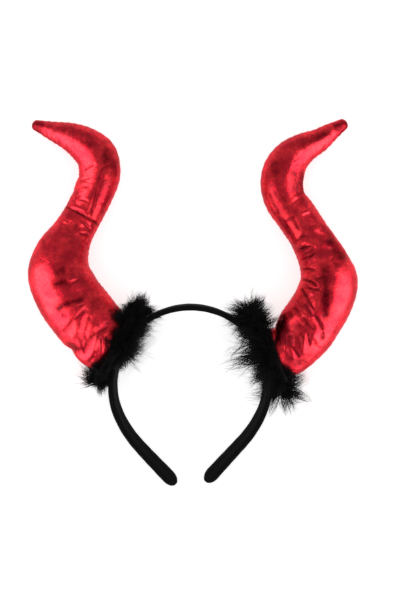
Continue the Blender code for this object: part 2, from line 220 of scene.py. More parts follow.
RIGHT_CREASES = (
    (331, 125, 337, 134, 0, 0.9, -0.3, 0),
    (334, 123, 340, 131, 0, 1.4, 0.3, 0.35),
    (336, 130, 352, 121, 0, 7, 0, 0.7),
    (333, 131, 316, 138, 0, 3.4, 0.1, 0.7),
    (320, 136, 300, 149, 0, 3.6, 0.1, 0.7),
    (294, 163, 303, 158, 0, 1.2, -0.25, 0),
    (294, 168, 303, 164, 0, 1.2, -0.25, 0),
    (274, 160, 275, 182, 0, 5, 0.2, 0.5),
    (295, 168, 297, 198, 0, 7, 0.2, 0.75),
    (303, 172, 305, 196, 0, 4, 0, 0.45),
    (303, 196, 300, 206, 0, 3, 0.2, 0.35),
    (266, 190, 280, 218, 0, 1.8, 0.2, 0.4),
    (280, 217, 296, 243, 0, 1.8, 0.4, 0.5),
    (279, 190, 290, 212, 0, 1.8, 0.3, 0.3),
    (291, 214, 300, 232, 0, 1.8, 0.3, 0.35),
    (283, 223, 296, 215, 0, 0.9, 0.5, 0.5),
    (299.5, 215, 311, 211, 0, 1, -0.6, 0),
    (311, 231, 321, 226, 0, 3, -0.5, 0),
    (318, 222, 330, 236, 0, 3.5, 0.3, 0.5),
    (326, 236, 344, 263, 0, 7, 0.2, 0.8),
    (330, 257, 336, 268, 0, 3.5, 0.3, 0.45),
    (294, 244, 306, 233, 0.6, 1.2, 0.6, 0.6),
    (299, 247, 309, 239, 0, 3, -0.75, 0),
    (298, 251, 313, 247, 0.5, 1.3, 0.8, 0.7),
    (301, 261, 315, 254, 0.5, 1.3, 0.8, 0.7),
    (308, 258, 315, 251, 0, 0.9, 0.75, 0.5),
    (304, 254, 315, 247, 0, 0.9, 0.75, 0.5),
    (305, 257, 314, 251, 0, 0.8, -0.45, 0),
    (301, 270, 315, 270, 0.5, 1.3, 0.75, 0.65),
    (301, 279, 317, 286, 0.5, 1.5, 0.95, 0.75),
    (308, 277, 320, 286, 0, 2.5, -0.6, 0),
    (304, 287, 320, 290, -0.5, 1.1, 1.05, 0.75),
    (314, 279, 326, 276, 0, 1.3, 0.5, 0.5),
    (323, 262, 325, 297, 0, 4.5, 0.3, 0.65),
    (324, 288, 325, 322, 0, 5.2, 0.4, 0.95),
    (301, 288, 305, 298, 0, 1.2, 1.35, 0.75),
    (305, 297, 313, 309, 0, 1, 0.9, 0.6),
    (304, 300, 313, 310, 0, 0.9, -0.4, 0),
    (308, 290, 317, 304, 0, 3.5, -0.75, 0),
    (296, 300, 303, 309, 0, 1.3, 0.5, 0.45),
    (297, 309, 309, 319, 0, 0.9, -0.5, 0),
    (293, 307, 301, 317, 0, 1.2, 0.8, 0.55),
    (301, 317, 313, 330, 0, 1.6, 0.8, 0.6),
    (300, 321, 312, 331, 0, 0.9, -0.4, 0),
    (303, 302, 312, 316, 0, 1.8, 0.8, 0.55),
    (312, 315, 322, 332, 0.8, 2, 1.2, 0.7),
    (322, 331, 322, 341, 0, 2, 1.1, 0.75),
    (287, 312, 292, 318, 0, 3, 0.2, 0.4),
    (279, 326, 286, 344, 0, 8, 0, 0.55),
    (297, 322, 303, 347, 0, 7, 0, 0.5),
    (286, 367, 313, 352, 0, 4.5, 0, 0.5),
    (281, 314, 277, 329, 0, 2, 0.8, 0.6),
    (277, 328, 274, 343, 0, 1.8, 1.1, 0.75),
    (280, 336, 284, 350, 0, 2.2, -0.6, 0),
    (284, 336, 285, 350, 0, 0.9, 0.4, 0.35),
    (289, 333, 291, 346, 0, 2.4, 0.7, 0.5),
    (291, 345, 298, 358, 0, 1.6, 0.8, 0.65),
    (287, 347, 294, 359, 0, 2.5, -0.6, 0),
    (297, 335, 299, 348, 0, 2.2, 0.4, 0.35),
    (303, 334, 303, 355, 0, 2.4, -0.6, 0),
    (306, 333, 309, 346, 0, 1.6, 0.9, 0.7),
    (311, 333, 319, 343, 0, 2.6, -0.6, 0),
    (312, 343, 321, 349, 0, 1.2, 0.4, 0.4),
    (294, 362, 310, 365, 0, 3.8, 0.2, 0.55),
)

# How long the feathers are round a trim: the place round the foot in degrees, then the lengths away from the
# horn, up along it and in towards the head, as shares of LOCK_LENGTH
LEFT_LOCKS = (
    (0.0, 0.75, 1.05, 0.45),
    (30.0, 0.50, 0.85, 0.20),
    (60.0, 0.35, 0.45, 0.20),
    (80.0, 0.30, 0.35, 0.85),
    (100.0, 0.30, 0.85, 2.10),
    (118.0, 0.45, 1.60, 1.80),
    (140.0, 0.65, 0.80, 1.10),
    (180.0, 0.92, 0.55, 0.80),
    (225.0, 0.65, 0.55, 0.80),
    (270.0, 0.40, 0.45, 0.90),
    (320.0, 0.45, 0.70, 0.40),
    (360.0, 0.75, 1.05, 0.45),
)
RIGHT_LOCKS = (
    (0.0, 1.85, 0.95, 1.25),
    (30.0, 1.05, 0.85, 0.45),
    (60.0, 0.50, 0.40, 1.20),
    (80.0, 0.40, 0.15, 2.50),
    (100.0, 0.40, 0.15, 2.60),
    (125.0, 0.50, 0.50, 1.20),
    (150.0, 0.80, 1.80, 0.90),
    (180.0, 1.15, 0.85, 1.00),
    (225.0, 0.80, 0.80, 0.90),
    (270.0, 0.45, 0.45, 1.35),
    (320.0, 0.95, 0.80, 1.10),
    (360.0, 1.85, 0.95, 1.25),
)

SIDES = {
    "left": {
        "side": -1,
        "lean": math.radians(62.0),
        "crossing": -0.0022,
        "seed": 11,
        "stations": LEFT_STATIONS,
        "folds": LEFT_FOLDS,
        "creases": LEFT_CREASES,
        "locks": LEFT_LOCKS,
    },
    "right": {
        "side": 1,
        "lean": math.radians(67.0),
        "crossing": 0.0034,
        "seed": 29,
        "stations": RIGHT_STATIONS,
        "folds": RIGHT_FOLDS,
        "creases": RIGHT_CREASES,
        "locks": RIGHT_LOCKS,
    },
}

# Where a pixel of the photograph lies on the headband
PIXEL = 0.00082
PIXEL_MIDDLE = (190.5, -0.00205)
PIXEL_LEG_ENDS = (485.6, -0.1496)

# How finely the horns are divided: for the cloth as it is blown up, and for the finished cover
BLOWN_RINGS, BLOWN_SIDES = 110, 64
COVER_RINGS, COVER_SIDES = 380, 236
# How finely the band is divided, then a horn's middle line under its trim, the way round it and the trim's core
BAND_RINGS, BAND_END_RINGS = 190, 15
LINE_PLACES, TRIM_PLACES, CORE_SIDES = 120, 96, 12

# How a cover is blown up, how many times its crumple is taken, and the most that it may be before that
BLOWN_SCALE = 10.0
BLOWN_FRAMES = 24
CLOTH = {
    "quality": 7,
    "mass": 0.15,
    "air_damping": 2.0,
    "tension_stiffness": 40.0,
    "compression_stiffness": 40.0,
    "shear_stiffness": 20.0,
    "bending_stiffness": 0.3,
    "use_pressure": True,
    "uniform_pressure_force": 12.0,
}
CRUMPLE = 1.4
CRUMPLE_LIMIT = 0.005
# The reach of the bells that find its broad swell, as shares along the horn and round it
SWELL_ALONG, SWELL_ROUND = 0.058, 0.10

# A cover's seams: the depth and half width of their line, then the depth, reach and step of their puckers
SEAM_DEPTH, SEAM_HALF_WIDTH = 0.00055, 0.0010
PUCKER_DEPTH, PUCKER_REACH, PUCKER_STEP = 0.00032, 0.0036, 0.0052
# Its small creases: how many, and the ranges of their half lengths, half widths and depths
STRAY_CREASES = 130
STRAY_HALF_LENGTHS = (0.003, 0.009)
STRAY_HALF_WIDTHS = (0.0007, 0.0016)
STRAY_DEPTHS = (-0.00022, 0.00034)
# How far the rings of its rounded foot and tip have come: shares of the foot's ellipse, and turns of the tip
FOOT_SHARES = (0.02, 0.25, 0.5, 0.75, 0.93)
TIP_TURNS = (0.35, 0.7, 1.05, 1.35, 1.54)

# The band's cloth: its seam, its gathers at the ends and its ruffle, then how far it stands off the strip
BAND_SEAM_DEPTH, BAND_SEAM_HALF_WIDTH = 0.00035, 0.0007
BAND_GATHER_DEPTH, BAND_GATHER_STEP, BAND_GATHER_REACH = 0.00012, 0.0024, 2.2 * END_LENGTH
BAND_RUFFLE = 0.00006
CLOTH_STAND, CLOTH_STAND_DOWN_LEG = 0.00042, 0.0003

# The marabou: its tufts and the barbs of each, the steps along a barb and its thickness at them, the range
# of its radius, its droop as a share of its length, and the room that it leaves to the horn, and to the band
# and the surface
TUFTS, BARBS = 400, 29
BARB_STEPS = (0.0, 0.38, 0.72, 1.0)
BARB_TAPER = (1.0, 0.90, 0.70)
BARB_RADII = (0.00011, 0.00019)
BARB_DROOP = 0.20
HORN_ROOM, BAND_ROOM = 0.0007, 0.0005

# The soft panels: each one's place, the point that it looks at, its size, its power in watts and its horn
PANELS = {
    "left_panel": ((-1.01, -0.39, 0.625), (-0.10, 0.0, 0.0), (2.1, 1.45), 37.0, "left"),
    "right_panel": ((1.01, -0.39, 0.625), (0.10, 0.0, 0.0), (2.1, 1.45), 37.0, "right"),
    "left_low": ((0.64, -0.62, 0.65), (-0.10, 0.0, 0.0), (0.95, 0.80), 7.0, "left"),
    "right_low": ((-0.81, -0.32, 0.68), (0.10, 0.0, 0.0), (0.80, 0.75), 3.8, "right"),
}
ROOM_LIGHT = 0.56
FLOOR_GLOW = 0.67
FLOOR_REACH = 3.0
CAMERA_PLACE = (0.00615, 0.0022, 2.075)
CAMERA_LENS, CAMERA_SENSOR = 150.0, 36.0
CAMERA_RANGE = (0.05, 20.0)


def smooth(share):
    """An ease from 0 to 1: three squares less two cubes of the share, held between 0 and 1."""
    share = np.clip(share, 0.0, 1.0)
    return share * share * (3 - 2 * share)


def unit(vectors):
    """The vectors divided by their lengths."""
    return vectors / np.maximum(np.linalg.norm(vectors, axis=-1, keepdims=True), 1e-12)


def smooth_rows(rows, count):
    """Rows at even steps along a cubic curve through the given rows, sloped by their central differences."""
    rows = np.asarray(rows, float)
    steps = np.linalg.norm(np.diff(rows[:, :2], axis=0), axis=1)
    at = np.concatenate([[0.0], np.cumsum(steps)])
    slopes = np.gradient(rows, at, axis=0)
    place = np.linspace(0.0, at[-1], count)
    index = np.clip(np.searchsorted(at, place, side="right") - 1, 0, len(at) - 2)
    width = (at[index + 1] - at[index])[:, None]
    share = (place - at[index])[:, None] / width
    start, end = rows[index], rows[index + 1]
    rise = (1 - share) ** 2 * share * width * slopes[index]
    fall = share**2 * (share - 1) * width * slopes[index + 1]
    return start + (end - start) * smooth(share) + rise + fall


def band_line(distance):
    """X, Y and lean of the band's middle line: an arch of BAND_RADIUS, an arc of LEG_RADIUS, a straight
    leg."""
    distance = np.asarray(distance, float)
    arch = BAND_RADIUS * ARCH_LEAN
    bend = LEG_RADIUS * (LEG_LEAN - ARCH_LEAN)
    on_arch = np.clip(distance, 0.0, arch) / BAND_RADIUS
    lean = on_arch + np.clip(distance - arch, 0.0, bend) / LEG_RADIUS
    straight = np.maximum(distance - arch - bend, 0.0)
    wide = np.maximum(lean, ARCH_LEAN)
    x = BAND_RADIUS * np.sin(on_arch) + LEG_RADIUS * (np.sin(wide) - math.sin(ARCH_LEAN))
    y = BAND_RADIUS * np.cos(on_arch) + LEG_RADIUS * (np.cos(wide) - math.cos(ARCH_LEAN))
    return x + straight * math.cos(LEG_LEAN), y - straight * math.sin(LEG_LEAN), lean


def half_band_length():
    """From the crown to the tip of a leg, so that the band is BAND_HEIGHT tall."""
    curved = BAND_RADIUS * ARCH_LEAN + LEG_RADIUS * (LEG_LEAN - ARCH_LEAN)
    drop_left = BAND_HEIGHT - BAND_RADIUS - BAND_THICKNESS / 2 + float(band_line(curved)[1])
    return curved + drop_left / math.sin(LEG_LEAN)


HALF_BAND = half_band_length()


def twist_at(distance):
    """The strip's turn about its middle line: LEG_TWIST times the share of the way down, to the power
    1.25."""
    return LEG_TWIST * (np.abs(distance) / HALF_BAND) ** 1.25


def strip_section(corner_points, flat_points=0):
    """The strip's outline across it, a rectangle with quarter circles of BAND_CORNER at its corners."""
    across, through = [], []
    corners = ((1, 1), (-1, 1), (-1, -1), (1, -1))
    for number, (to_width, to_thickness) in enumerate(corners):
        turn = math.pi / 2 * (number + np.linspace(0.0, 1.0, corner_points))
        across.append(to_width * (BAND_WIDTH / 2 - BAND_CORNER) + BAND_CORNER * np.cos(turn))
        through.append(to_thickness * (BAND_THICKNESS / 2 - BAND_CORNER) + BAND_CORNER * np.sin(turn))
        if flat_points and number in (0, 2):
            share = np.linspace(0.0, 1.0, flat_points + 2)[1:-1]
            across.append(to_width * (BAND_WIDTH / 2 - BAND_CORNER) * (1 - 2 * share))
            through.append(np.full(flat_points, to_thickness * BAND_THICKNESS / 2))
    return np.concatenate(across), np.concatenate(through)


def band_grid(body_rings, end_rings, across, through):
    """The strip's sections from leg tip to leg tip: its middle line plus the section turned by the twist,
    whose width shrinks over the last END_LENGTH as the root of one less the square of the share past."""
    body = np.linspace(0.0, HALF_BAND - END_LENGTH, body_rings)
    rounding = np.sin(np.linspace(0.0, math.pi / 2, end_rings))[1:]
    half = np.concatenate([body, HALF_BAND - END_LENGTH * (1 - rounding)])
    distance = np.concatenate([-half[:0:-1], half])
    side = np.sign(distance)
    x, y, lean = band_line(np.abs(distance))
    twist = twist_at(distance)
    past = np.clip((np.abs(distance) - HALF_BAND + END_LENGTH) / END_LENGTH, 0.0, 1.0)
    narrow = np.maximum(np.sqrt(1 - past**2), END_LEAST_WIDTH)
    thin = np.maximum(narrow, END_LEAST_THICKNESS)
    outward = np.stack([side * np.sin(lean), np.cos(lean), np.zeros_like(lean)], axis=1)
    upward = np.array([0.0, 0.0, 1.0])
    width_way = upward * np.cos(twist)[:, None] + outward * np.sin(twist)[:, None]
    thick_way = outward * np.cos(twist)[:, None] - upward * np.sin(twist)[:, None]
    middle = np.stack([side * x, y, np.zeros_like(x)], axis=1)
    grid = (
        middle[:, None, :]
        + width_way[:, None, :] * (across[None, :] * narrow[:, None])[:, :, None]
        + thick_way[:, None, :] * (through[None, :] * thin[:, None])[:, :, None]
    )
    return grid, distance, middle, width_way, thick_way


def band_tilt():
    """The band's slope as it lies: its leg tips on the surface, its arch as high as the horns' middles."""
    foot_y = BAND_RADIUS * math.cos(sum(one["lean"] for one in SIDES.values()) / len(SIDES))
    tip_y = BAND_RADIUS + BAND_THICKNESS / 2 - BAND_HEIGHT
    tip_height = BAND_WIDTH / 2 * math.cos(LEG_TWIST) + BAND_THICKNESS / 2 * math.sin(LEG_TWIST)
    return math.asin((BELLY_DEPTH / 2 - tip_height) / (foot_y - tip_y))


TILT = band_tilt()


def tilted(points):
    """Points of the band's own plane, sloped about X by TILT."""
    points = np.asarray(points, float)
    y = points[..., 1] * math.cos(TILT) - points[..., 2] * math.sin(TILT)
    z = points[..., 1] * math.sin(TILT) + points[..., 2] * math.cos(TILT)
    return np.stack([points[..., 0], y, z], axis=-1)


PLAIN_BAND = tilted(band_grid(25, 7, *strip_section(3))[0])
BAND_LIFT = -float(PLAIN_BAND[..., 2].min())
SHIFT = np.array(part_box("headband")[0]) - PLAIN_BAND.min(axis=(0, 1)) - np.array([0.0, 0.0, BAND_LIFT])


def laid(points):
    """Points of the band's own plane, where they lie once its leg tips touch the surface."""
    return tilted(points) + np.array([0.0, 0.0, BAND_LIFT])


def placed(points, side):
    """Points worked out at +X, on their own side of the finished headband."""
    return points * np.array([side, 1.0, 1.0]) + SHIFT


def on_foot(lean, along_band, above, forward):
    """A point near a horn's foot: so far along the band, above its outer face and forward of its middle."""
    along_band, above, forward = np.broadcast_arrays(along_band, above, forward)
    at = lean + along_band / BAND_RADIUS
    twist = twist_at(at * BAND_RADIUS)
    face = BAND_THICKNESS / 2 / np.cos(twist) + forward * np.tan(twist)
    reach = BAND_RADIUS + face + CLEARANCE + above
    return laid(np.stack([reach * np.sin(at), reach * np.cos(at), forward], axis=-1))


def fold_depth(folds, along, turn):
    """How deep the broad folds press in: a sum of bells across and round each fold's slanted line."""
    depth = np.zeros(np.broadcast(along, turn).shape)
    for at, round_at, slant, along_w, round_w, deep in folds:
        off = (np.degrees(turn) - round_at + 180.0) % 360.0 - 180.0
        line = at + slant * off / 360.0
        depth += deep * np.exp(-(((along - line) / along_w) ** 2) - (off / round_w) ** 2)
    return depth


def gathers(along, turn):
    """Soft lengthwise flutes where the cloth is drawn in at the foot: a cosine that dies out upward."""
    return FLUTE_DEPTH * np.cos(FLUTES * turn + 0.7) * np.exp(-((along / FLUTE_REACH) ** 2))


def horn_line(one, count):
    """The horn's middle line and its sections' half widths and half depths, at even steps from foot to tip.

    A section faces the way that the middle line runs, as a mean over bells of WAYS_REACH, so that neighbours
    don't cross in the hollow of a bend.
    """
    foot = on_foot(one["lean"], 0.0, 0.0, 0.0)
    first = (0.0, 0.0, FOOT_WIDTH / BELLY_WIDTH, FOOT_DEPTH / BELLY_DEPTH)
    rows = np.array((first, *one["stations"])) * (HORN_REACH, HORN_RISE, BELLY_WIDTH, BELLY_DEPTH)
    rows = smooth_rows(rows, count)
    along = np.linspace(0.0, 1.0, count)
    ways = unit(spread(along, along, WAYS_REACH, False) @ unit(np.gradient(rows[:, :2], axis=0)))
    height = foot[2] + (rows[:, 3] / 2 - PRESSED_FLAT - foot[2]) * smooth(along / FOOT_RISE)
    middle = np.stack([foot[0] + rows[:, 0], foot[1] + rows[:, 1], height], axis=1)
    across = np.stack([ways[:, 1], -ways[:, 0], np.zeros(count)], axis=1)
    return {"middle": middle, "across": across, "ways": ways, "along": along,
            "half_width": rows[:, 2] / 2, "half_depth": rows[:, 3] / 2}


def horn_grid(one, count, sides, folds):
    """The horn's sections: middle plus half width times cosine across, and half depth times sine up, less
    folds."""
    line = horn_line(one, count)
    turn = np.linspace(0.0, 2 * math.pi, sides, endpoint=False)
    along = line["along"]
    pressed = gathers(along[:, None], turn[None, :]) + fold_depth(folds, along[:, None], turn[None, :])
    out = line["half_width"][:, None] * np.cos(turn) * (1 - pressed)
    up = line["half_depth"][:, None] * np.sin(turn) * (1 - pressed)
    grid = line["middle"][:, None, :] + line["across"][:, None, :] * out[:, :, None]
    grid[:, :, 2] += up
    settle = smooth(along / FOOT_OPEN)[:, None, None]
    grid = foot_ring(one, turn, DRAWN_IN)[None] * (1 - settle) + grid * settle
    return grid, line, turn


def foot_ring(one, turn, share):
    """A ring on the band's outer face, at a share of the foot's ellipse with its flutes."""
    flutes = 1 - gathers(0.0, turn)
    return on_foot(one["lean"], share * FOOT_WIDTH / 2 * np.cos(turn) * flutes, 0.0,
                   share * FOOT_DEPTH / 2 * np.sin(turn) * flutes)


def flat_pattern(line, turn):
    """The two flat panels that the cover is cut from, one on the other, at the same grid of places.

    Their middle line bends by the horn's heading change times half width over half girth. A place round the
    horn lies across the panel from it, at the half girth times a half less the share of the half turn.
    """
    girth = math.pi * np.sqrt((line["half_width"] ** 2 + line["half_depth"] ** 2) / 2)
    heading = np.unwrap(np.arctan2(line["ways"][:, 1], line["ways"][:, 0]))
    change = np.diff(heading, prepend=heading[0]) * 2 * line["half_width"] / girth
    heading = heading[0] + np.cumsum(change)
    steps = np.linalg.norm(np.diff(line["middle"][:, :2], axis=0, prepend=line["middle"][:1, :2]), axis=1)
    x = line["middle"][0, 0] + np.cumsum(steps * np.cos(heading))
    y = line["middle"][0, 1] + np.cumsum(steps * np.sin(heading))
    half_turn = np.where(turn <= math.pi, turn, 2 * math.pi - turn) / math.pi
    off = girth[:, None] * (0.5 - half_turn)
    return np.stack([x[:, None] + np.sin(heading)[:, None] * off,
                     y[:, None] - np.cos(heading)[:, None] * off,
                     np.broadcast_to(line["middle"][:, 2:3], off.shape)], axis=-1)


def tube_quads(rings, sides):
    """The faces of a grid that closes round: each place, the next one round, and both on the next ring."""
    start = np.arange(rings - 1)[:, None] * sides
    here = np.arange(sides)[None, :]
    onward = (here + 1) % sides
    return np.stack([start + here, start + onward, start + sides + onward, start + sides + here],
                    axis=-1).reshape(-1, 4)


def volume_of(points, quads):
    """The signed volume under the faces: the sum of each half face's triple product, over six."""
    a, b, c, d = (points[quads[:, k]] for k in range(4))
    halves = np.einsum("ij,ij->i", a, np.cross(b, c)) + np.einsum("ij,ij->i", a, np.cross(c, d))
    return float(halves.sum() / 6)


def mesh_of(name, points, faces, corner_uv=None):
    """A smooth mesh from points and from arrays of faces, each array with its own number of corners, and
    its map in metres where one is given."""
    mesh = bpy.data.meshes.new(name)
    corners = np.concatenate([one.ravel() for one in faces]).astype(np.int32)
    sizes = np.concatenate([np.full(len(one), one.shape[1]) for one in faces])
    starts = np.concatenate([[0], np.cumsum(sizes)[:-1]]).astype(np.int32)
    mesh.vertices.add(len(points))
    mesh.vertices.foreach_set("co", np.asarray(points, np.float32).ravel())
    mesh.loops.add(len(corners))
    mesh.loops.foreach_set("vertex_index", corners)
    mesh.polygons.add(len(sizes))
    mesh.polygons.foreach_set("loop_start", starts)
    if corner_uv is not None:
        layer = mesh.uv_layers.new(name="cut")
        layer.data.foreach_set("uv", np.asarray(corner_uv, np.float32).ravel())
    mesh.update(calc_edges=True)
    mesh.shade_smooth()
    return mesh


def linked(name, data):
    """A new object of the scene with that mesh, light or camera."""
    made = bpy.data.objects.new(name, data)
    bpy.context.scene.collection.objects.link(made)
    return made


def point_values(piece, name, values):
    """Gives a piece's points a number each, which its finish reads by that name."""
    numbers = piece.data.attributes.new(name, "FLOAT", "POINT")
    numbers.data.foreach_set("value", values.ravel().astype(np.float32))


def closed_tube(name, points, around, along):
    """A tube from a grid of rings, with a flat cap on each end ring, and a map of metres around and along
    it."""
    rings, sides = points.shape[:2]
    flat = points.reshape(-1, 3)
    quads = tube_quads(rings, sides)
    caps = [np.arange(sides)[::-1][None, :], (np.arange(sides) + (rings - 1) * sides)[None, :]]
    ring = np.repeat(np.arange(rings - 1), sides)
    place = np.tile(np.arange(sides), rings - 1)
    cut = np.stack([np.stack([around[ring + r, place + p], along[ring + r, place + p]], axis=-1)
                    for r, p in ((0, 0), (0, 1), (1, 1), (1, 0))], axis=1)
    cap_cut = [np.stack([around[r, :sides], along[r, :sides]], axis=-1) for r in (0, -1)]
    cap_cut[0] = cap_cut[0][::-1]
    if volume_of(flat, quads) < 0:
        quads, cut = quads[:, ::-1], cut[:, ::-1]
        caps = [cap[:, ::-1] for cap in caps]
        cap_cut = [one[::-1] for one in cap_cut]
    corner_uv = np.concatenate([cut.reshape(-1, 2), *cap_cut])
    return linked(name, mesh_of(name, flat, [quads, *caps], corner_uv))


def girth_map(points):
    """Metres around each ring and along the mean of the rings, with one more column to close the round."""
    closed = np.concatenate([points, points[:, :1]], axis=1)
    around = np.cumsum(np.linalg.norm(np.diff(closed, axis=1), axis=2), axis=1)
    around = np.concatenate([np.zeros((len(points), 1)), around], axis=1)
    middle = points.mean(axis=1)
    steps = np.linalg.norm(np.diff(middle, axis=0), axis=1)
    along = np.concatenate([[0.0], np.cumsum(steps)])
    return around, np.broadcast_to(along[:, None], around.shape)


def blown_up(start, pattern):
    """The cover blown up: Blender's cloth with pressure, cut to the flat pattern and held at both ends.

    Returns the places of the grid after BLOWN_FRAMES steps, worked out BLOWN_SCALE times as large as life.
    """
    rings, sides = start.shape[:2]
    quads = tube_quads(rings, sides)
    flat = start.reshape(-1, 3) * BLOWN_SCALE
    if volume_of(flat, quads) < 0:
        quads = quads[:, ::-1]
    cover = linked("cover", mesh_of("cover", flat, [quads]))
    cover.shape_key_add(name="as sewn")
    cut = cover.shape_key_add(name="as cut")
    cut.data.foreach_set("co", (pattern.reshape(-1, 3) * BLOWN_SCALE).astype(np.float32).ravel())
    cut.value = 0.0
    held = cover.vertex_groups.new(name="held")
    held.add([*range(2 * sides), *range((rings - 2) * sides, rings * sides)], 1.0, "REPLACE")
    cloth = cover.modifiers.new("cloth", "CLOTH")
    cloth.point_cache.frame_start, cloth.point_cache.frame_end = 1, BLOWN_FRAMES
    for setting, value in CLOTH.items():
        setattr(cloth.settings, setting, value)
    cloth.settings.vertex_group_mass = "held"
    cloth.settings.rest_shape_key = cut
    cloth.settings.effector_weights.gravity = 0.0
    cloth.collision_settings.use_collision = False
    scene = bpy.context.scene
    for step in range(1, BLOWN_FRAMES + 1):
        scene.frame_set(step)
    done = cover.evaluated_get(bpy.context.evaluated_depsgraph_get()).to_mesh()
    places = np.empty(rings * sides * 3, np.float32)
    done.vertices.foreach_get("co", places)
    bpy.data.objects.remove(cover, do_unlink=True)
    scene.frame_set(1)
    return places.reshape(rings, sides, 3).astype(float) / BLOWN_SCALE


def spread(fine, coarse, reach, around):
    """Weights from coarse places to fine ones: bells of that reach in shares of the whole, rows adding to
    1."""
    if around:
        off = (fine[:, None] - coarse[None, :] + 0.5) % 1.0 - 0.5
    else:
        off = fine[:, None] - coarse[None, :]
    weight = np.exp(-((off / reach) ** 2))
    return weight / weight.sum(axis=1, keepdims=True)


def crumple(one):
    """How the cloth of a horn lies off its smooth form: the blown-up cover less that form and less its own
    broad swell, a mean over 14 mm, held under CRUMPLE_LIMIT, laid on the finished cover's grid and taken
    CRUMPLE times."""
    start, line, turn = horn_grid(one, BLOWN_RINGS, BLOWN_SIDES, ())
    off = blown_up(start, flat_pattern(line, turn)) - start
    along = np.linspace(0.0, 1.0, BLOWN_RINGS)
    around = np.arange(BLOWN_SIDES) / BLOWN_SIDES
    broad_along = spread(along, along, SWELL_ALONG, False)
    broad_around = spread(around, around, SWELL_ROUND, True)
    off = off - np.einsum("ai,bj,ijk->abk", broad_along, broad_around, off)
    size = np.linalg.norm(off, axis=2, keepdims=True)
    off *= CRUMPLE_LIMIT * np.tanh(size / CRUMPLE_LIMIT) / np.maximum(size, 1e-9)
    fine_along = spread(np.linspace(0.0, 1.0, COVER_RINGS), along, 1.15 / BLOWN_RINGS, False)
    fine_around = spread(np.arange(COVER_SIDES) / COVER_SIDES, around, 1.15 / BLOWN_SIDES, True)
    return CRUMPLE * np.einsum("ai,bj,ijk->abk", fine_along, fine_around, off)


def outward_of(grid):
    """The outward direction at each place of a closed grid of rings: the cross product of its two slopes."""
    around = np.roll(grid, -1, axis=1) - np.roll(grid, 1, axis=1)
    normal = unit(np.cross(around, np.gradient(grid, axis=0)))
    middle = grid.mean(axis=1, keepdims=True)
    return normal * np.sign(np.einsum("ijk,ijk->", normal, grid - middle))


def to_pixels(points):
    """Where points of the finished headband lie in the photograph, in its pixels."""
    x = (points[..., 0] - PIXEL_MIDDLE[1]) / PIXEL + PIXEL_MIDDLE[0]
    return x, PIXEL_LEG_ENDS[0] - (points[..., 1] - PIXEL_LEG_ENDS[1]) / PIXEL


def crease_depth(creases, points, front):
    """How deep the creases press in at points, in metres, and how much painted shade lies along them: for each,
    its depth or painted shade times a bell of the distance from its bowed line over its half width, which thins
    towards its ends."""
    px, py = to_pixels(points)
    depth, painted_shade = np.zeros(px.shape), np.zeros(px.shape)
    for x0, y0, x1, y1, bow, width, deep, shade_share in creases:
        long = math.hypot(x1 - x0, y1 - y0)
        share = ((px - x0) * (x1 - x0) + (py - y0) * (y1 - y0)) / long**2
        off = ((px - x0) * (y1 - y0) - (py - y0) * (x1 - x0)) / long
        off = off - bow * 4 * share * (1 - share)
        ends = smooth(share / 0.3 + 0.25) * smooth((1 - share) / 0.3 + 0.25)
        bell = np.exp(-((off / width) ** 2)) * ends
        depth += deep / 1000 * bell
        # Painted shade: each crease's darkening of the foil, joined over all the creases
        painted_shade = 1 - (1 - painted_shade) * (1 - shade_share * bell)
    return depth * front, painted_shade * front


def small_creases(seed, along_m, around_m, length, girth):
    """Small creases strewn over the cover, mostly crosswise: bells about short lines at seeded places."""
    drawn = np.random.default_rng(seed)
    depth = np.zeros(along_m.shape)
    for _ in range(STRAY_CREASES):
        at, round_at = drawn.uniform(0.0, length), drawn.uniform(0.0, 1.0)
        way = drawn.normal(0.0, 0.45)
        half_long, width = drawn.uniform(*STRAY_HALF_LENGTHS), drawn.uniform(*STRAY_HALF_WIDTHS)
        deep = drawn.uniform(*STRAY_DEPTHS)
        side = (around_m / girth - round_at + 0.5) % 1.0 - 0.5
        side = side * girth
        up = along_m - at
        off = up * math.cos(way) - side * math.sin(way)
        run = side * math.cos(way) + up * math.sin(way)
        depth += deep * np.exp(-((off / width) ** 2) - (run / half_long) ** 2)
    return depth


